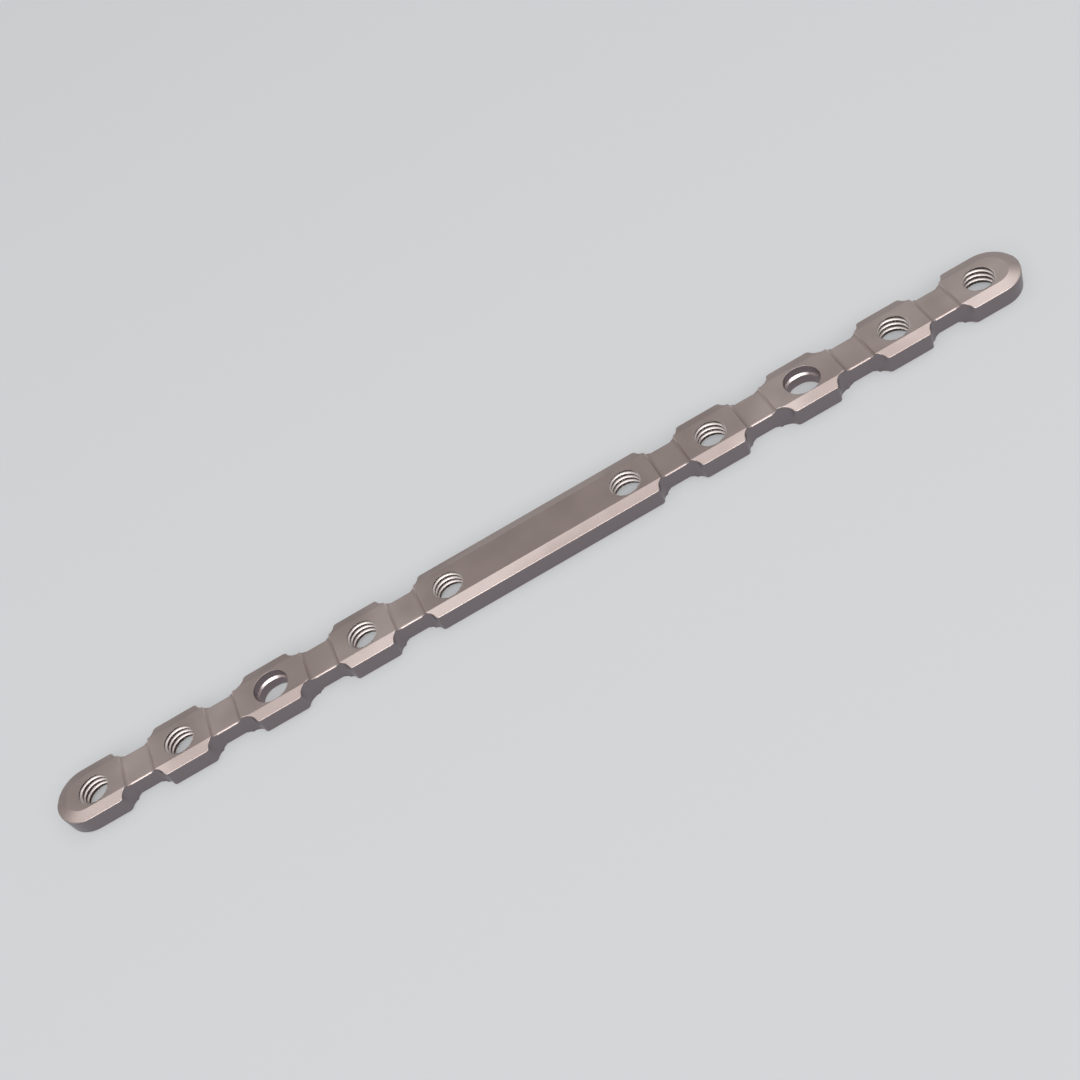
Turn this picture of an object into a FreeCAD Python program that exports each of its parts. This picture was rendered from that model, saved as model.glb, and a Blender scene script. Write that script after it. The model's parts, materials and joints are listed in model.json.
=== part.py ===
import FreeCAD, Part
import math
import os

# Straight bone plate milled from one bar of implant titanium, in millimetres.
# X runs along the plate, Y across it, Z up out of the face that the screws enter.
# The origin is the middle of the underside, the face that lies on the bone.

# Plate section, the same above and below
plate_width = 5.2
plate_thickness = 2.2
land_width = 3.3            # flat strip along each face, between the two side bevels
bevel_drop = 0.27           # how far each side bevel falls towards the side wall

# Pads, one round each hole, and the necks where the surgeon bends the plate
lock_pad_length = 5.2
slot_pad_length = 6.35
shoulder_length = 4.1       # full-width stretch of a pad, between its two scallops
middle_span = 16.6          # between the two holes that share the long middle bar
end_reach = 0.92            # from an end hole to the centre of the round tip
neck_gap = 2.8              # between the top edges of two neighbouring pads
neck_width = 3.1
neck_drop = 0.28            # how far a neck is set in from each face of the pads
step_radius = 0.45          # hollow curve from a pad down to the neck
corner_radius = 0.35        # outer corner between the side and a scallop
neck_edge_break = 0.08

# Holes, counted from the left end
outer_holes = ["lock", "lock", "slot", "lock", "lock"]   # then the same, mirrored
hole_row = -0.1             # Y of the line of holes, a little to one side of the middle
lock_bore_radius = 1.5      # to the root of the locking thread
recess_half_width = 1.5     # screw-head recess of a compression slot
recess_slide = 0.12         # between the centres of the recess's two round ends
recess_depth = 0.77
seat_slope = 48.0           # degrees from level, of the seat under the recess
slot_half_width = 1.33      # passage for the screw's shank
slot_slide = 0.3
mouth_half_width = 1.7      # where a hole flares open at the underside
mouth_slope = 45.0          # degrees from level, of that flare
overcut = 1.0               # how far cutting tools stand out of the plate

half_width = plate_width / 2
half_neck = neck_width / 2
middle_height = plate_thickness / 2
neck_top = plate_thickness - neck_drop
scallop_radius = half_width - half_neck
step_run = math.sqrt(step_radius ** 2 - (step_radius - neck_drop) ** 2)
pad_half = {"lock": lock_pad_length / 2, "slot": slot_pad_length / 2}


def hole_places():
    """Kind and X of every hole, from the left end to the right."""
    x = middle_span / 2
    right = [(outer_holes[-1], x)]
    for near, far in zip(outer_holes[::-1], outer_holes[-2::-1]):
        x += pad_half[near] + neck_gap + pad_half[far]
        right.append((far, x))
    left = [(kind, -x) for kind, x in reversed(right)]
    return left + right


def neck_places(holes):
    """X of the two holes beside each neck, leaving out the middle bar."""
    pairs = zip(holes, holes[1:])
    return [(a, b) for a, b in pairs if not a[1] < 0 < b[1]]


def point(x, y, z=0.0):
    return FreeCAD.Vector(x, y, z)


def arc(start, middle, end):
    return Part.Arc(start, middle, end).toShape()


def line(start, end):
    return Part.LineSegment(start, end).toShape()


def from_below(tool):
    """The same tool, working on the underside."""
    return tool.mirror(point(0, 0, middle_height), point(0, 0, 1))


def shoulder(x_shoulder, turn):
    """Points of one shoulder on the +Y side: where the corner starts, the middle and
    end of the corner, the middle of the scallop, and where the scallop meets the neck.
    turn is 1 where the scallop lies towards +X and -1 where it lies towards -X."""
    x_scallop = x_shoulder + turn * scallop_radius
    reach = scallop_radius + corner_radius
    run = math.sqrt(reach ** 2 - corner_radius ** 2)
    x_corner = x_scallop - turn * run
    y_corner = half_width - corner_radius
    lean = math.atan2(corner_radius, run)

    def on_scallop(angle):
        return point(x_scallop - turn * scallop_radius * math.cos(angle),
                     half_width - scallop_radius * math.sin(angle))

    def on_corner(angle):
        return point(x_corner + turn * corner_radius * math.cos(angle),
                     y_corner + corner_radius * math.sin(angle))

    return [on_corner(math.pi / 2), on_corner((math.pi / 2 + lean) / 2), on_scallop(lean),
            on_scallop((math.pi / 2 + lean) / 2), on_scallop(math.pi / 2)]


def side_edges(holes):
    """The +Y side of the outline, from the left tip's arc to the right tip's arc."""
    edges = []
    x_tip = holes[-1][1] + end_reach
    last = point(-x_tip, half_width)
    for (_, x_left), (_, x_right) in neck_places(holes):
        a = shoulder(x_left + shoulder_length / 2, 1)
        b = shoulder(x_right - shoulder_length / 2, -1)
        edges += [line(last, a[0]), arc(*a[0:3]), arc(*a[2:5]), line(a[4], b[4]),
                  arc(*b[4:1:-1]), arc(*b[2::-1])]
        last = b[0]
    return edges + [line(last, point(x_tip, half_width))]


def outline_block(holes):
    """The plate's outline, with scallops beside every neck and round tips."""
    x_tip = holes[-1][1] + end_reach
    upper = side_edges(holes)
    lower = [edge.mirror(point(0, 0), point(0, 1)) for edge in upper]
    tips = [arc(point(side * x_tip, half_width), point(side * (x_tip + half_width), 0),
                point(side * x_tip, -half_width)) for side in (-1, 1)]
    outline = Part.Wire(Part.__sortEdges__(upper + lower + tips))
    return Part.Face(outline).extrude(point(0, 0, plate_thickness))


def bevel_envelope(holes):
    """Everything between the flat lands, the side bevels and the cones round the tips."""
    x_tip = holes[-1][1] + end_reach
    half_land = land_width / 2
    flank = [(half_land, 0), (half_width, bevel_drop),
             (half_width, plate_thickness - bevel_drop), (half_land, plate_thickness)]
    across = flank + [(-y, z) for y, z in reversed(flank)]
    section = Part.makePolygon([point(-x_tip, y, z) for y, z in across + across[:1]])
    bar = Part.Face(section).extrude(point(2 * x_tip, 0, 0))
    half = [(0, 0)] + flank + [(0, plate_thickness), (0, 0)]
    envelope = bar
    for side in (-1, 1):
        centre = side * x_tip
        profile = Part.Face(Part.makePolygon([point(centre, y, z) for y, z in half]))
        envelope = envelope.fuse(profile.revolve(point(centre, 0), point(0, 0, 1), 360))
    return envelope


def neck_feet(left, right):
    """X of the two lines where a neck's level face meets the hollows beside it."""
    return (left[1] + pad_half[left[0]] + step_run, right[1] - pad_half[right[0]] - step_run)


def neck_cutter(left, right):
    """Tool that lowers one neck: level in the middle, hollow up to each pad's edge."""
    sweep = math.asin(step_run / step_radius)

    def step(x_foot, turn):
        spots = [(x_foot - turn * step_radius * math.sin(share * sweep),
                  neck_top + step_radius * (1 - math.cos(share * sweep)))
                 for share in (1, 0.5, 0)]
        return [point(x, -half_width - overcut, z) for x, z in spots]

    foot_left, foot_right = neck_feet(left, right)
    a = step(foot_left, 1)
    b = step(foot_right, -1)
    lift = point(0, 0, overcut)
    edges = [arc(*a), line(a[2], b[2]), arc(*b[::-1]), line(b[0], b[0] + lift),
             line(b[0] + lift, a[0] + lift), line(a[0] + lift, a[0])]
    return Part.Face(Part.Wire(edges)).extrude(point(0, plate_width + 2 * overcut, 0))


def neck_edge_cutters(left, right):
    """Tools that break the two long top edges of one neck."""
    start, end = neck_feet(left, right)
    out = overcut / 2
    corner = [(half_neck + out, neck_top - neck_edge_break - out),
              (half_neck + out, neck_top + out),
              (half_neck - neck_edge_break - out, neck_top + out)]
    tools = []
    for side in (-1, 1):
        spots = [point(start, side * y, z) for y, z in corner + corner[:1]]
        tools.append(Part.Face(Part.makePolygon(spots)).extrude(point(end - start, 0, 0)))
    return tools


def stadium(x, slide, radius, z):
    """Closed outline of a slot along X with round ends, on the line of holes."""
    left, right = x - slide / 2, x + slide / 2
    high, low = hole_row + radius, hole_row - radius
    return Part.Wire([line(point(left, high, z), point(right, high, z)),
                      arc(point(right, high, z), point(right + radius, hole_row, z),
                          point(right, low, z)),
                      line(point(right, low, z), point(left, low, z)),
                      arc(point(left, low, z), point(left - radius, hole_row, z),
                          point(left, high, z))])


def mouth(radius):
    """Height of the flare under a hole of this half width, and the flare's half width
    where the tool enters below the plate."""
    steepness = math.tan(math.radians(mouth_slope))
    return (mouth_half_width - radius) * steepness, mouth_half_width + overcut / steepness


def lock_cutter(x):
    """Plain bore at the root of the locking thread, with a flare at the underside."""
    flare_top, entry = mouth(lock_bore_radius)
    top = plate_thickness + overcut
    half = [(0, -overcut), (entry, -overcut), (lock_bore_radius, flare_top),
            (lock_bore_radius, top), (0, top), (0, -overcut)]
    profile = Part.Face(Part.makePolygon([point(x + r, hole_row, z) for r, z in half]))
    return profile.revolve(point(x, hole_row), point(0, 0, 1), 360)


def slot_cutter(x):
    """Compression slot: head recess, sloped seat, the shank's narrower passage, flare."""
    seat_top = plate_thickness - recess_depth
    fall = (recess_half_width - slot_half_width) * math.tan(math.radians(seat_slope))
    flare_top, entry = mouth(slot_half_width)
    levels = [(slot_slide, entry, -overcut), (slot_slide, slot_half_width, flare_top),
              (slot_slide, slot_half_width, seat_top - fall),
              (recess_slide, recess_half_width, seat_top),
              (recess_slide, recess_half_width, plate_thickness + overcut)]
    outlines = [stadium(x, slide, radius, z) for slide, radius, z in levels]
    return Part.makeLoft(outlines, True, True)


def bone_plate():
    holes = hole_places()
    plate = outline_block(holes).common(bevel_envelope(holes))
    cutters = []
    for left, right in neck_places(holes):
        tools = [neck_cutter(left, right)] + neck_edge_cutters(left, right)
        cutters += tools + [from_below(tool) for tool in tools]
    for kind, x in holes:
        cutters.append(lock_cutter(x) if kind == "lock" else slot_cutter(x))
    return plate.cut(cutters).removeSplitter()


os.makedirs("parts", exist_ok=True)
plate = bone_plate()
plate.exportStep("parts/bone_plate.step")
box = plate.BoundBox
print("bone_plate", plate.isValid(), len(plate.Solids), "solid,", len(plate.Faces), "faces")
print("size", round(box.XLength, 3), round(box.YLength, 3), round(box.ZLength, 3))
print("volume", round(plate.Volume, 2), "mm3")
print("holes", [(kind, round(x, 3)) for kind, x in hole_places()])
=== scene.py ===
import json
import math
import bmesh
import bpy
from mathutils import Matrix, Vector


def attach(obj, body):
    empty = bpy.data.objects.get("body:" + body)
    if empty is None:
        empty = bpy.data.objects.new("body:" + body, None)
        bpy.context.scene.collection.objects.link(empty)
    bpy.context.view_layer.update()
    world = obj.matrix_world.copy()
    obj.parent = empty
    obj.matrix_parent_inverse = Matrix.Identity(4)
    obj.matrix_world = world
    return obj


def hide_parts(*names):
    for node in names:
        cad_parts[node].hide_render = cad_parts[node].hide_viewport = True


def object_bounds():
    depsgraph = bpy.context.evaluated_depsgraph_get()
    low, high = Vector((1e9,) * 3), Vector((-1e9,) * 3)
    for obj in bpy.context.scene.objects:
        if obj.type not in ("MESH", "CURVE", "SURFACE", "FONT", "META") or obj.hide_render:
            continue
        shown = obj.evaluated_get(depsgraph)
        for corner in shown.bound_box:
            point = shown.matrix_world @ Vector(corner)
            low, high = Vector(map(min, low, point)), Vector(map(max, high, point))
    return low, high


mm = 0.001

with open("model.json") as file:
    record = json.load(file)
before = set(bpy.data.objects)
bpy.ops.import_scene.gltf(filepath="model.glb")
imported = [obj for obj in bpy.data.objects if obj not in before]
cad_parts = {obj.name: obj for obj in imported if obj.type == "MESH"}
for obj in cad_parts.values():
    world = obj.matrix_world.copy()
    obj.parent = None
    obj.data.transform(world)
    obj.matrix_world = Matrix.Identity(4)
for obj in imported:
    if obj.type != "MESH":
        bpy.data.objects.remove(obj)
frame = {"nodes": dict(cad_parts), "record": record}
cadLow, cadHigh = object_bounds()
plateNode = frame["nodes"]["bone_plate"]
lockHoles = [m for m in frame["record"]["mounts"] if m["kind"] == "threaded_hole"]
slotRow = next(m for m in frame["record"]["mounts"] if m["kind"] == "bolt_pattern")
print("frame loaded,", len(lockHoles), "threaded holes")


def linearColour(hexText):
    # a colour as a picker gives it, turned to the linear values that shaders take
    parts = [int(hexText[i:i + 2], 16) / 255 for i in (1, 3, 5)]
    return [c / 12.92 if c <= 0.04045 else ((c + 0.055) / 1.055) ** 2.4 for c in parts] + [1.0]


def addNode(tree, kind, settings=None, inputs=None):
    # inputs maps a socket's name or number to a value, or to another node's output
    node = tree.nodes.new(kind)
    for name, value in (settings or {}).items():
        setattr(node, name, value)
    for key, value in (inputs or {}).items():
        if isinstance(value, bpy.types.NodeSocket):
            tree.links.new(value, node.inputs[key])
        else:
            node.inputs[key].default_value = value
    return node


# Titanium alloy, milled and then tumbled: a warm grey metal with a soft satin sheen.
# Tumbling leaves it matt enough that a lamp shows as a broad glow and never as a shape.

tumbled = {
    "metal": "#DACAC5",
    "dullAndShade": "#C0AFAA",          # the same metal, duller in broad patches; on the long bar's land it is a painted darker reflection
    "wall": "#877E81",          # painted shade: the side walls drawn darker, as they stand in shade
    "acrossWall": 0.0,          # how much of the walls' painted shade the walls across the plate take
    "roughness": 0.34,
    "unevenness": 0.04,         # roughness either way, from patch to patch
    "blotch": 2.6,              # mm across those patches
    "blotchRange": (0.3, 0.7),  # values of the noise, from the smoothest to the roughest
    "cloud": 9.0,               # mm across the broad duller patches
    "cloudRange": (0.4, 0.62),
    "cloudShare": 0.8,          # of the dull colour, at most
    "bar": 9.0,                 # mm from the middle, where the painted darker reflection on the long bar's land ends
    "barFade": 4.0,             # mm
    "grain": 0.09,              # mm across the tumbling marks, drawn coarser than the real 0.02
    "grainDepth": 0.0016,       # mm
    "innerEdge": 0.02,          # mm, how far the sheen runs round an edge near the middle
    "outerEdge": 0.15,          # mm, the same at the sides, which knock together in the tumbler
}

# The tumbler's stones don't reach into the slots, whose edges stay sharp. Their metal is drawn brighter
# than the plate's, a painted highlight on the seats, and their walls take a lighter painted shade.
slotLitAndShaded = dict(tumbled, metal="#EEE2E0", dullAndShade="#EEE2E0", wall="#928588", acrossWall=1.0,
               roughness=0.36, innerEdge=0.015, outerEdge=0.015)

# Thread cut by a fine tool: its metal drawn brighter, a painted highlight on the flanks, with painted
# shade in the roots and on the ridges' inner faces.
threadLitAndShaded = dict(tumbled, metal="#FFF4F0", dullAndShade="#FFF4F0", wall="#504542", acrossWall=1.0,
                 roughness=0.40, innerEdge=0.015, outerEdge=0.015)
threadLitAndShaded["crevice"] = 0.32                # mm, how near the next ridge is where the painted shade darkens a root
threadLitAndShaded["creviceColour"] = "#161211"
threadLitAndShaded["creviceRange"] = (0.48, 0.84)   # openness, from full painted shade to none

# How the shader tells the plate's faces apart: by how much of a face's normal points up
# or sideways, and by millimetres from the plate's middle.
faceKinds = {
    "wall": (0.55, 0.15),       # upward, from level to wall
    "land": (0.97, 0.99),       # upward, from bevel to land
    "along": (0.02, 0.2),       # sideways, from a wall across the plate to one along it
    "sides": (1.8, 2.2),        # mm from the middle line, to where the outer edges' reach is full
    "setIn": (1.05, 0.95),      # mm from mid height, the same towards the necks' faces
}
raySamples = 8              # for soft edges and for the painted shade in the roots


def metalColour(tree, place, facing, at, look):
    # broad patches that are a little duller, and a painted darker reflection on the long bar's land
    clouds = addNode(tree, "ShaderNodeTexNoise", None, {
        "Vector": place.outputs["Object"], "Scale": 1 / (look["cloud"] * mm), "Detail": 2.0})
    cloudy = addNode(tree, "ShaderNodeMapRange", {"interpolation_type": "SMOOTHSTEP"}, {
        "Value": clouds.outputs["Fac"], "From Min": look["cloudRange"][0],
        "From Max": look["cloudRange"][1], "To Max": look["cloudShare"]})
    fromMiddle = addNode(tree, "ShaderNodeMath", {"operation": "ABSOLUTE"}, {0: at.outputs["X"]})
    nearMiddle = addNode(tree, "ShaderNodeMapRange", {"interpolation_type": "SMOOTHSTEP"}, {
        "Value": fromMiddle.outputs[0], "From Min": look["bar"] * mm,
        "From Max": (look["bar"] + look["barFade"]) * mm, "To Min": 1.0, "To Max": 0.0})
    upward = addNode(tree, "ShaderNodeMath", {"operation": "ABSOLUTE"}, {0: facing.outputs["Z"]})
    land = addNode(tree, "ShaderNodeMapRange", None, {
        "Value": upward.outputs[0], "From Min": faceKinds["land"][0],
        "From Max": faceKinds["land"][1]})
    paintedBarShade = addNode(tree, "ShaderNodeMath", {"operation": "MULTIPLY"}, {
        0: nearMiddle.outputs["Result"], 1: land.outputs["Result"]})
    dullAndShaded = addNode(tree, "ShaderNodeMath", {"operation": "MAXIMUM"}, {
        0: cloudy.outputs["Result"], 1: paintedBarShade.outputs[0]})
    level = addNode(tree, "ShaderNodeMix", {"data_type": "RGBA"}, {
        "Factor": dullAndShaded.outputs[0], 6: linearColour(look["metal"]), 7: linearColour(look["dullAndShade"])})

    # painted shade on the walls, where they run along the plate
    upright = addNode(tree, "ShaderNodeMapRange", {"interpolation_type": "SMOOTHSTEP"}, {
        "Value": upward.outputs[0], "From Min": faceKinds["wall"][0],
        "From Max": faceKinds["wall"][1]})
    sideways = addNode(tree, "ShaderNodeMath", {"operation": "ABSOLUTE"}, {0: facing.outputs["Y"]})
    along = addNode(tree, "ShaderNodeMapRange", {"interpolation_type": "SMOOTHSTEP"}, {
        "Value": sideways.outputs[0], "From Min": faceKinds["along"][0],
        "From Max": faceKinds["along"][1], "To Min": look["acrossWall"], "To Max": 1.0})
    wall = addNode(tree, "ShaderNodeMath", {"operation": "MULTIPLY"}, {
        0: upright.outputs["Result"], 1: along.outputs["Result"]})
    colour = addNode(tree, "ShaderNodeMix", {"data_type": "RGBA"}, {
        "Factor": wall.outputs[0], 6: level.outputs[2], 7: linearColour(look["wall"])})
    if "crevice" not in look:
        return colour.outputs[2]

    # painted shade: darker the more the neighbouring ridges close a place in
    closed = addNode(tree, "ShaderNodeAmbientOcclusion", {"samples": raySamples}, {
        "Distance": look["crevice"] * mm})
    openness = addNode(tree, "ShaderNodeMapRange", {"interpolation_type": "SMOOTHSTEP"}, {
        "Value": closed.outputs["AO"], "From Min": look["creviceRange"][0],
        "From Max": look["creviceRange"][1]})
    shaded = addNode(tree, "ShaderNodeMix", {"data_type": "RGBA"}, {
        "Factor": openness.outputs["Result"], 6: linearColour(look["creviceColour"]),
        7: colour.outputs[2]})
    return shaded.outputs[2]


def softNormal(tree, place, at, look):
    # the sheen runs furthest round the edges of the sides
    offCentre = addNode(tree, "ShaderNodeMath", {"operation": "ABSOLUTE"}, {0: at.outputs["Y"]})
    reachSides = addNode(tree, "ShaderNodeMapRange", None, {
        "Value": offCentre.outputs[0], "From Min": faceKinds["sides"][0] * mm,
        "From Max": faceKinds["sides"][1] * mm, "To Min": look["innerEdge"] * mm,
        "To Max": look["outerEdge"] * mm})
    # the necks' edges, set in from both faces, are as soft as those
    aboveMiddle = addNode(tree, "ShaderNodeMath", {"operation": "SUBTRACT"}, {
        0: at.outputs["Z"], 1: cadHigh.z / 2})
    offMiddle = addNode(tree, "ShaderNodeMath", {"operation": "ABSOLUTE"}, {0: aboveMiddle.outputs[0]})
    reachNecks = addNode(tree, "ShaderNodeMapRange", None, {
        "Value": offMiddle.outputs[0], "From Min": faceKinds["setIn"][0] * mm,
        "From Max": faceKinds["setIn"][1] * mm, "To Min": look["innerEdge"] * mm,
        "To Max": look["outerEdge"] * mm})
    reach = addNode(tree, "ShaderNodeMath", {"operation": "MAXIMUM"}, {
        0: reachSides.outputs["Result"], 1: reachNecks.outputs["Result"]})
    softEdge = addNode(tree, "ShaderNodeBevel", {"samples": raySamples}, {"Radius": reach.outputs[0]})
    grain = addNode(tree, "ShaderNodeTexNoise", None, {
        "Vector": place.outputs["Object"], "Scale": 1 / (look["grain"] * mm), "Detail": 2.0})
    bump = addNode(tree, "ShaderNodeBump", None, {
        "Height": grain.outputs["Fac"], "Distance": look["grainDepth"] * mm, "Strength": 1.0,
        "Normal": softEdge.outputs["Normal"]})
    return bump.outputs["Normal"]


def makeTitanium(name, look):
    material = bpy.data.materials.new(name)
    material.use_nodes = True
    tree = material.node_tree
    tree.nodes.clear()
    place = addNode(tree, "ShaderNodeTexCoord")
    facing = addNode(tree, "ShaderNodeSeparateXYZ", None, {0: place.outputs["Normal"]})
    at = addNode(tree, "ShaderNodeSeparateXYZ", None, {0: place.outputs["Object"]})
    patches = addNode(tree, "ShaderNodeTexNoise", None, {
        "Vector": place.outputs["Object"], "Scale": 1 / (look["blotch"] * mm), "Detail": 3.0})
    rough = addNode(tree, "ShaderNodeMapRange", None, {
        "Value": patches.outputs["Fac"], "From Min": look["blotchRange"][0],
        "From Max": look["blotchRange"][1], "To Min": look["roughness"] - look["unevenness"],
        "To Max": look["roughness"] + look["unevenness"]})
    shader = addNode(tree, "ShaderNodeBsdfPrincipled", None, {
        "Base Color": metalColour(tree, place, facing, at, look), "Metallic": 1.0,
        "Roughness": rough.outputs["Result"], "Normal": softNormal(tree, place, at, look)})
    addNode(tree, "ShaderNodeOutputMaterial", None, {"Surface": shader.outputs[0]})
    return material


tumbledTitanium = makeTitanium("tumbledTitanium", tumbled)
slotTitanium = makeTitanium("slotTitanium", slotLitAndShaded)
threadTitanium = makeTitanium("threadTitanium", threadLitAndShaded)
print("titanium made")


# The plate as it leaves the tumbler: a merged copy of the milled solid, its outer edges
# rounded. The hole rims stay crisp, and so do the edges that meet at the necks.

softening = {
    "merge": 0.0002,        # mm
    "oneFlat": 0.8,         # degrees, below which neighbouring faces are one
    "crisp": 12.0,          # degrees, from which an edge shows as a line
    "sharp": 20.0,          # degrees, from which an edge is rounded
    "edge": 0.06,           # mm
    "rim": 0.02,            # mm
    "segments": 2,
    "straySheen": 28.0,     # degrees that a corner's shading may lean away from its face

    # what tells the faces apart: how much of a face's normal points one way, unless in mm
    "holeWall": 0.9,        # upward, at most, for the wall of a hole
    "lockReach": 1.2,       # times the hole's radius
    "slotReach": 0.5,       # mm past half the slot's length
    "level": 0.99,          # upward, for a neck's face
    "flat": 0.999,          # upward, for a face that is shaded quite flat
    "neckHeights": (0.2, 2.0),      # mm, between which a level face is a neck's
    "straight": 0.02,       # at most, for a face that doesn't lean that way
    "hollow": 0.03,         # along the plate, at least, for a hollow step
    "broken": (0.69, 0.73),         # sideways, for a neck's edge broken at 45 degrees
}


def holeKind(face, sizes):
    # "lock" or "slot" for a face inside a hole, else None
    if abs(face.normal.z) > sizes["holeWall"]:
        return None
    at = face.calc_center_median() / mm
    for m in lockHoles:
        away = math.hypot(at.x - m["pos_m"][0] / mm, at.y - m["pos_m"][1] / mm)
        if away < sizes["lockReach"] * m["dims"]["r_mm"]:
            return "lock"
    reach = slotRow["dims"]["slot_length_mm"] / 2 + sizes["slotReach"]
    for side in (-1, 1):
        x = slotRow["pos_m"][0] / mm + side * slotRow["dims"]["spacing_x_mm"] / 2
        if abs(at.x - x) < reach and abs(at.y - slotRow["pos_m"][1] / mm) < reach:
            return "slot"
    return None


def onNeck(face, sizes):
    # true for a neck's level faces, its broken edges and the hollow steps beside it
    turn = face.normal
    height = face.calc_center_median().z / mm
    lowest, highest = sizes["neckHeights"]
    least, most = sizes["broken"]
    hollow = abs(turn.y) < sizes["straight"] and abs(turn.x) > sizes["hollow"]
    level = abs(turn.z) > sizes["level"] and lowest < height < highest
    broken = abs(turn.x) < sizes["straight"] and least < abs(turn.y) < most
    return hollow or level or broken


def edgeRounding(edge, kinds, sizes):
    # radius in millimetres that tumbling gives to one edge
    if math.degrees(edge.calc_face_angle(0.0)) < sizes["sharp"]:
        return 0.0
    inside = [kinds[face] for face in edge.link_faces]
    if any(inside):
        return 0.0 if all(inside) else sizes["rim"]
    # the cutter's corners beside the necks are too tight for the tumbler's stones
    if any(onNeck(face, sizes) for vertex in edge.verts for face in vertex.link_faces):
        return 0.0
    return sizes["edge"]


def mergedPlate(sizes):
    solid = bmesh.new()
    solid.from_mesh(plateNode.data)
    bmesh.ops.remove_doubles(solid, verts=solid.verts, dist=sizes["merge"] * mm)
    bmesh.ops.dissolve_limit(solid, angle_limit=math.radians(sizes["oneFlat"]), verts=solid.verts,
                             edges=solid.edges)
    solid.normal_update()
    weight = solid.edges.layers.float.new("bevel_weight_edge")
    slots = {None: 0, "slot": 1, "lock": 2}
    kinds = {face: holeKind(face, sizes) for face in solid.faces}
    for face, kind in kinds.items():
        face.material_index = slots[kind]
        face.smooth = True
    for edge in solid.edges:
        edge[weight] = edgeRounding(edge, kinds, sizes) / sizes["edge"]
        edge.smooth = math.degrees(edge.calc_face_angle(0.0)) < sizes["crisp"]
    mesh = bpy.data.meshes.new("bonePlate")
    solid.to_mesh(mesh)
    solid.free()
    for material in (tumbledTitanium, slotTitanium, threadTitanium):
        mesh.materials.append(material)
    return mesh


def makePlate(sizes):
    rough = bpy.data.objects.new("roughPlate", mergedPlate(sizes))
    bpy.context.scene.collection.objects.link(rough)
    bevel = rough.modifiers.new("tumbling", "BEVEL")
    bevel.limit_method = "WEIGHT"
    bevel.width = sizes["edge"] * mm
    bevel.segments = sizes["segments"]
    bevel.use_clamp_overlap = False
    bevel.harden_normals = True
    ready = rough.evaluated_get(bpy.context.evaluated_depsgraph_get())
    plate = bpy.data.objects.new("tumbled_plate", bpy.data.meshes.new_from_object(ready))
    bpy.data.objects.remove(rough)
    # the ends of the roundings stay level with the faces
    for vertex in plate.data.vertices:
        vertex.co.z = min(max(vertex.co.z, cadLow.z), cadHigh.z)
    # no sheen runs from there over a level face or a wall
    shading = [Vector(corner.vector) for corner in plate.data.corner_normals]
    furthest = math.radians(sizes["straySheen"])
    for face in plate.data.polygons:
        for i in face.loop_indices:
            if abs(face.normal.z) > sizes["flat"] or shading[i].angle(face.normal) > furthest:
                shading[i] = face.normal.copy()
    plate.data.normals_split_custom_set(shading)
    bpy.context.scene.collection.objects.link(plate)
    return plate


plate = makePlate(softening)
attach(plate, "root")
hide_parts("bone_plate")
print("plate rounded,", len(plate.data.polygons), "faces")


# Locking threads: one right-handed ridge winds up the wall of each locking hole.
# All lengths in millimetres.

thread = {
    "Pitch": 0.5,
    "Root Radius": lockHoles[0]["dims"]["r_mm"],
    "Crest Radius": 1.23,
    "Crest Flat": 0.125,      # height of the ridge's inner face, before its edges are rounded
    "Crest Round": 0.06,
    "Crest Steps": 3,         # in the rounding of one edge
    "Flank Rise": 0.156,      # height that each 30 degree flank takes
    "Sink": 0.03,             # how far the ridge's foot stands in the wall
    "Crest Start": 0.10,      # height of a crest on the +X side of the hole
    "Mouth Radius": 1.7,      # 45 degree flare at the underside
    "Mouth Overcut": 1.0,     # how far the flare's cone stands out below the plate
    "Top": cadHigh.z / mm - 0.002,      # just under the land
    "Turns": 6.0,
    "Segments": 64,           # in one turn
    "Crease": math.radians(25),         # edges that bend more stay sharp
    "Level Top": 0.98,        # how far upward a face points, at least, to be tumbled as the land
}
topBlock = (4.0, 4.0, 2.0)    # size of the tool that cuts the ridge level


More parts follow.
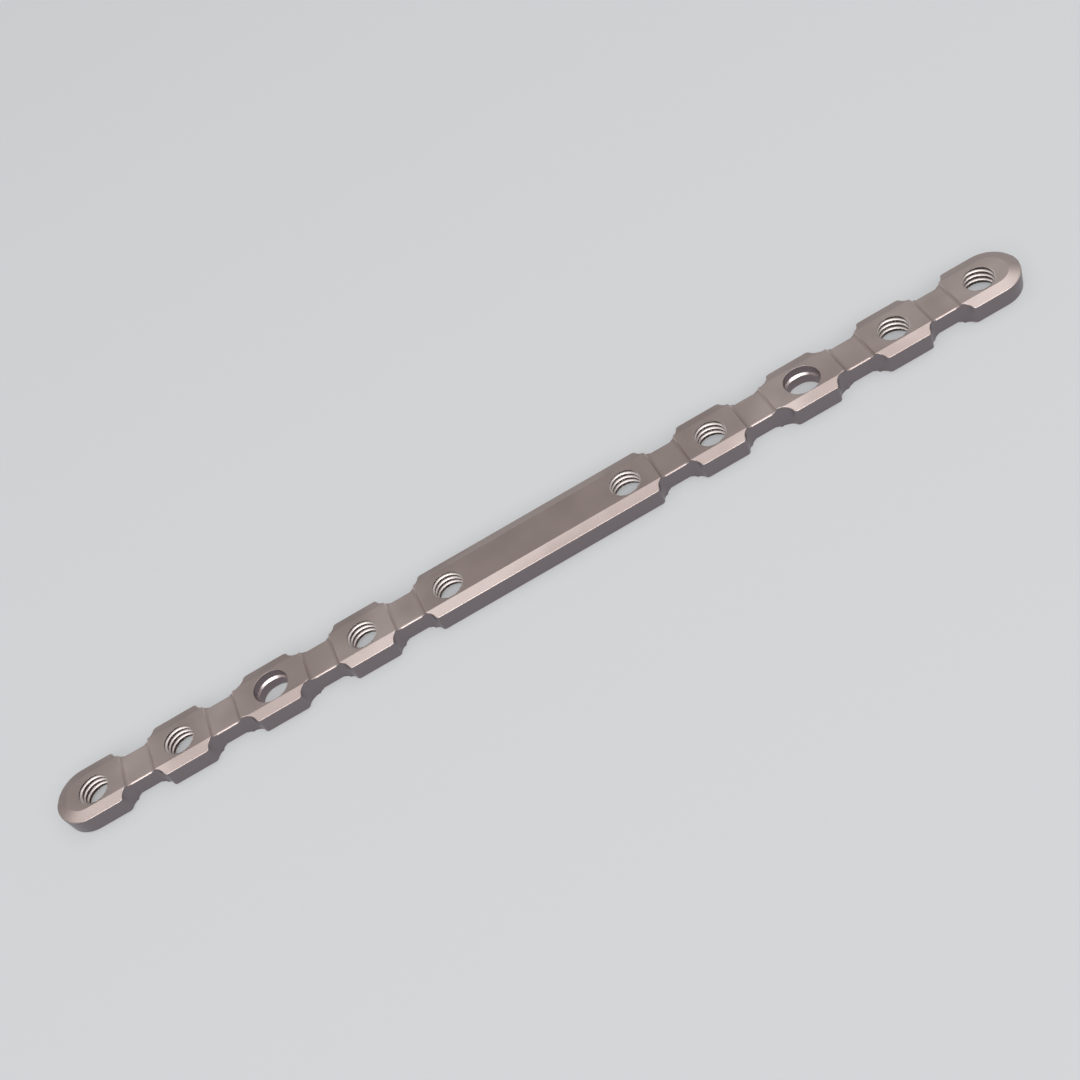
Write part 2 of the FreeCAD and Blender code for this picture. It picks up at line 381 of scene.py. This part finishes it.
def ridgeSection(tree, given):
    # inner face, flanks, and a foot sunk in the wall
    depth = addNode(tree, "ShaderNodeMath", {"operation": "SUBTRACT"}, {
        0: given["Root Radius"], 1: given["Crest Radius"]})
    fullDepth = addNode(tree, "ShaderNodeMath", {"operation": "ADD"}, {
        0: depth.outputs[0], 1: given["Sink"]})
    halfCrest = addNode(tree, "ShaderNodeMath", {"operation": "MULTIPLY"}, {
        0: given["Crest Flat"], 1: 0.5})
    slope = addNode(tree, "ShaderNodeMath", {"operation": "DIVIDE"}, {
        0: given["Flank Rise"], 1: depth.outputs[0]})
    halfFoot = addNode(tree, "ShaderNodeMath", {"operation": "MULTIPLY_ADD"}, {
        0: slope.outputs[0], 1: fullDepth.outputs[0], 2: halfCrest.outputs[0]})
    section = addNode(tree, "GeometryNodeCurvePrimitiveQuadrilateral", {"mode": "POINTS"})
    corners = [(0.0, halfCrest, 1), (0.0, halfCrest, -1),
               (fullDepth.outputs[0], halfFoot, -1), (fullDepth.outputs[0], halfFoot, 1)]
    for number, (outward, half, side) in enumerate(corners, 1):
        height = addNode(tree, "ShaderNodeMath", {"operation": "MULTIPLY"}, {
            0: half.outputs[0], 1: side})
        corner = addNode(tree, "ShaderNodeCombineXYZ", None, {"X": outward, "Y": height.outputs[0]})
        tree.links.new(corner.outputs[0], section.inputs["Point " + str(number)])
    # points 0 and 1 are the inner face's edges, and only they are rounded
    index = addNode(tree, "GeometryNodeInputIndex")
    inner = addNode(tree, "ShaderNodeMath", {"operation": "LESS_THAN"}, {
        0: index.outputs[0], 1: 1.5})
    rounding = addNode(tree, "ShaderNodeMath", {"operation": "MULTIPLY"}, {
        0: inner.outputs[0], 1: given["Crest Round"]})
    return addNode(tree, "GeometryNodeFilletCurve", {"mode": "POLY"}, {
        "Curve": section.outputs["Curve"], "Radius": rounding.outputs[0],
        "Count": given["Crest Steps"]})


def windRidge(tree, given):
    # the ridge winds from below the plate to above it
    climb = addNode(tree, "ShaderNodeMath", {"operation": "MULTIPLY"}, {
        0: given["Pitch"], 1: given["Turns"]})
    spiral = addNode(tree, "GeometryNodeCurveSpiral", None, {
        "Resolution": given["Segments"], "Rotations": given["Turns"],
        "Start Radius": given["Crest Radius"], "End Radius": given["Crest Radius"],
        "Height": climb.outputs[0], "Reverse": True})
    upright = addNode(tree, "GeometryNodeSetCurveNormal", {"mode": "Z_UP"}, {
        "Curve": spiral.outputs["Curve"]})
    ridge = addNode(tree, "GeometryNodeCurveToMesh", None, {
        "Curve": upright.outputs["Curve"],
        "Profile Curve": ridgeSection(tree, given).outputs["Curve"], "Fill Caps": True})
    start = addNode(tree, "ShaderNodeMath", {"operation": "SUBTRACT"}, {
        0: given["Crest Start"], 1: given["Pitch"]})
    rise = addNode(tree, "ShaderNodeCombineXYZ", None, {"Z": start.outputs[0]})
    return addNode(tree, "GeometryNodeTransform", None, {
        "Geometry": ridge.outputs["Mesh"], "Translation": rise.outputs[0]})


def trimRidge(tree, given, ridge):
    # it is cut level just under the top face, and by the flare at the underside
    block = addNode(tree, "GeometryNodeMeshCube", None, {"Size": topBlock})
    lift = addNode(tree, "ShaderNodeMath", {"operation": "ADD"}, {
        0: given["Top"], 1: topBlock[2] / 2})
    rise = addNode(tree, "ShaderNodeCombineXYZ", None, {"Z": lift.outputs[0]})
    blockUp = addNode(tree, "GeometryNodeTransform", None, {
        "Geometry": block.outputs["Mesh"], "Translation": rise.outputs[0]})
    flareFoot = addNode(tree, "ShaderNodeMath", {"operation": "ADD"}, {
        0: given["Mouth Radius"], 1: given["Mouth Overcut"]})
    flare = addNode(tree, "GeometryNodeMeshCone", None, {
        "Vertices": given["Segments"], "Radius Top": 0.0, "Radius Bottom": flareFoot.outputs[0],
        "Depth": flareFoot.outputs[0]})
    drop = addNode(tree, "ShaderNodeMath", {"operation": "MULTIPLY"}, {
        0: given["Mouth Overcut"], 1: -1.0})
    fall = addNode(tree, "ShaderNodeCombineXYZ", None, {"Z": drop.outputs[0]})
    flareDown = addNode(tree, "GeometryNodeTransform", None, {
        "Geometry": flare.outputs["Mesh"], "Translation": fall.outputs[0]})
    trimmed = addNode(tree, "GeometryNodeMeshBoolean", {"operation": "DIFFERENCE", "solver": "EXACT"}, {
        "Mesh 1": ridge.outputs["Geometry"], "Mesh 2": blockUp.outputs["Geometry"]})
    tree.links.new(flareDown.outputs["Geometry"], trimmed.inputs["Mesh 2"])
    return trimmed


def threadTree(sizes):
    tree = bpy.data.node_groups.new("lockingThread", "GeometryNodeTree")
    tree.interface.new_socket("Geometry", in_out="INPUT", socket_type="NodeSocketGeometry")
    for name, value in sizes.items():
        kind = "NodeSocketInt" if isinstance(value, int) else "NodeSocketFloat"
        tree.interface.new_socket(name, in_out="INPUT", socket_type=kind).default_value = value
    for name in ("Material", "Top Material"):
        tree.interface.new_socket(name, in_out="INPUT", socket_type="NodeSocketMaterial")
    tree.interface.new_socket("Geometry", in_out="OUTPUT", socket_type="NodeSocketGeometry")
    given = addNode(tree, "NodeGroupInput").outputs
    trimmed = trimRidge(tree, given, windRidge(tree, given))

    # round along the ridge, sharp at its edges
    angle = addNode(tree, "GeometryNodeInputMeshEdgeAngle")
    crease = addNode(tree, "ShaderNodeMath", {"operation": "GREATER_THAN"}, {
        0: angle.outputs["Unsigned Angle"], 1: given["Crease"]})
    smooth = addNode(tree, "GeometryNodeSetShadeSmooth", {"domain": "FACE"}, {
        "Geometry": trimmed.outputs["Mesh"]})
    creased = addNode(tree, "GeometryNodeSetShadeSmooth", {"domain": "EDGE"}, {
        "Geometry": smooth.outputs["Geometry"], "Selection": crease.outputs[0],
        "Shade Smooth": False})

    # one copy on each point of the input mesh, brought from millimetres to metres
    copies = addNode(tree, "GeometryNodeInstanceOnPoints", None, {
        "Points": given["Geometry"], "Instance": creased.outputs["Geometry"], "Scale": (mm, mm, mm)})
    real = addNode(tree, "GeometryNodeRealizeInstances", None, {"Geometry": copies.outputs["Instances"]})
    dressed = addNode(tree, "GeometryNodeSetMaterial", None, {
        "Geometry": real.outputs["Geometry"], "Material": given["Material"]})

    # its level top is tumbled with the land round the hole
    normal = addNode(tree, "GeometryNodeInputNormal")
    facing = addNode(tree, "ShaderNodeSeparateXYZ", None, {0: normal.outputs["Normal"]})
    levelTop = addNode(tree, "ShaderNodeMath", {"operation": "GREATER_THAN"}, {
        0: facing.outputs["Z"], 1: given["Level Top"]})
    topped = addNode(tree, "GeometryNodeSetMaterial", None, {
        "Geometry": dressed.outputs["Geometry"], "Material": given["Top Material"],
        "Selection": levelTop.outputs[0]})
    addNode(tree, "NodeGroupOutput", None, {"Geometry": topped.outputs["Geometry"]})
    return tree


def makeThreads(sizes, material, topMaterial):
    points = bpy.data.meshes.new("threadPoints")
    points.from_pydata([(m["pos_m"][0], m["pos_m"][1], 0.0) for m in lockHoles], [], [])
    carrier = bpy.data.objects.new("threadCarrier", points)
    bpy.context.scene.collection.objects.link(carrier)
    tree = threadTree(sizes)
    modifier = carrier.modifiers.new("threads", "NODES")
    modifier.node_group = tree
    values = dict(sizes)
    values["Material"] = material
    values["Top Material"] = topMaterial
    for item in tree.interface.items_tree:
        if item.in_out == "INPUT" and item.name in values:
            modifier[item.identifier] = values[item.name]
    ready = carrier.evaluated_get(bpy.context.evaluated_depsgraph_get())
    mesh = bpy.data.meshes.new_from_object(ready)
    bpy.data.objects.remove(carrier)
    threads = bpy.data.objects.new("locking_threads", mesh)
    bpy.context.scene.collection.objects.link(threads)
    return threads


threads = makeThreads(thread, threadTitanium, tumbledTitanium)
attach(threads, "root")
print("threads cut,", len(threads.data.polygons), "faces")


# Pale floor, plain and matt

ground = {
    "half": 2.0,            # m from the middle to an edge
    "colour": "#D6D8DA",
    "ownLight": "#CFD1D3",  # what it sends out itself, to the camera and to reflections only
    "ownShare": 0.5,        # of what is seen of the floor, so its shadows stay soft
}


def makeFloor(sizes):
    half = sizes["half"]
    corners = [(-half, -half, 0), (half, -half, 0), (half, half, 0), (-half, half, 0)]
    mesh = bpy.data.meshes.new("floor")
    mesh.from_pydata(corners, [], [(0, 1, 2, 3)])
    floor = bpy.data.objects.new("floor", mesh)
    bpy.context.scene.collection.objects.link(floor)
    material = bpy.data.materials.new("paleFloor")
    material.use_nodes = True
    tree = material.node_tree
    tree.nodes.clear()
    card = addNode(tree, "ShaderNodeBsdfDiffuse", None, {"Color": linearColour(sizes["colour"])})
    own = addNode(tree, "ShaderNodeEmission", None, {
        "Color": linearColour(sizes["ownLight"]), "Strength": 1.0})
    seen = addNode(tree, "ShaderNodeMixShader", None, {
        0: sizes["ownShare"], 1: card.outputs[0], 2: own.outputs[0]})
    ray = addNode(tree, "ShaderNodeLightPath").outputs
    mirrored = addNode(tree, "ShaderNodeMath", {"operation": "MAXIMUM"}, {
        0: ray["Is Glossy Ray"], 1: ray["Is Transmission Ray"]})
    looked = addNode(tree, "ShaderNodeMath", {"operation": "MAXIMUM"}, {
        0: ray["Is Camera Ray"], 1: mirrored.outputs[0]})
    mixed = addNode(tree, "ShaderNodeMixShader", None, {
        0: looked.outputs[0], 1: card.outputs[0], 2: seen.outputs[0]})
    addNode(tree, "ShaderNodeOutputMaterial", None, {"Surface": mixed.outputs[0]})
    mesh.materials.append(material)
    return floor


floor = makeFloor(ground)
print("floor laid")


# Studio: a pale room and soft lamps. Azimuth 0 stands in front of the plate and 90 at its
# +X end, in degrees; sizes are in metres and powers in watts.

lampDistance = 0.6
lamps = {
    "front": {"azimuth": 0, "elevation": 41, "wide": 1.2, "high": 0.3, "power": 3.37},
    "overhead": {"azimuth": 180, "elevation": 75, "wide": 1.2, "high": 0.3, "power": 0.88},
    "highFront": {"azimuth": 0, "elevation": 74, "wide": 1.2, "high": 0.2, "power": 0.55},
    "highRight": {"azimuth": 90, "elevation": 60, "wide": 0.5, "high": 0.5, "power": 0.09},
}
room = {"colour": "#FFFFFF", "strength": 0.337}


def addLamp(name, lamp):
    around = math.radians(lamp["azimuth"])
    up = math.radians(lamp["elevation"])
    level = math.cos(up)
    place = Vector((math.sin(around) * level, -math.cos(around) * level, math.sin(up))) * lampDistance
    light = bpy.data.lights.new(name, "AREA")
    light.shape = "RECTANGLE"
    light.size = lamp["wide"]
    light.size_y = lamp["high"]
    light.energy = lamp["power"]
    holder = bpy.data.objects.new(name, light)
    holder.location = place
    holder.rotation_euler = (-place).to_track_quat("-Z", "Y").to_euler()
    bpy.context.scene.collection.objects.link(holder)


for name, lamp in lamps.items():
    addLamp(name, lamp)

world = bpy.data.worlds.new("studio")
world.use_nodes = True
sky = world.node_tree.nodes["Background"].inputs
sky["Color"].default_value = linearColour(room["colour"])
sky["Strength"].default_value = room["strength"]
bpy.context.scene.world = world
print("studio lit with", len(lamps), "lamps")


# Camera, solved from the places of the ten holes in the picture

view = {
    "lens": 48.374,          # mm, on a square sensor
    "sensor": 36.0,          # mm
    "distance": 119.257,     # mm from the picture's middle point on the plate
    "elevation": 47.07,      # degrees
    "roll": -29.97,
    "slideRight": -0.297,    # mm
    "slideUp": 0.495,
    "lift": 0.27,
    "nearest": 0.005,        # m
    "furthest": 10.0,
}


def makeCamera(v):
    data = bpy.data.cameras.new("camera")
    data.lens = v["lens"]
    data.sensor_width = v["sensor"]
    data.clip_start = v["nearest"]
    data.clip_end = v["furthest"]
    camera = bpy.data.objects.new("camera", data)
    turn = Matrix.Rotation(math.radians(90 - v["elevation"]), 4, "X")
    turn = turn @ Matrix.Rotation(math.radians(v["roll"]), 4, "Z")
    offset = turn @ Vector((v["slideRight"], v["slideUp"], v["distance"])) * mm
    camera.matrix_world = Matrix.Translation(offset + Vector((0, 0, v["lift"] * mm))) @ turn
    bpy.context.scene.collection.objects.link(camera)
    return camera


bpy.context.scene.camera = makeCamera(view)
bpy.context.scene.view_settings.view_transform = "Standard"
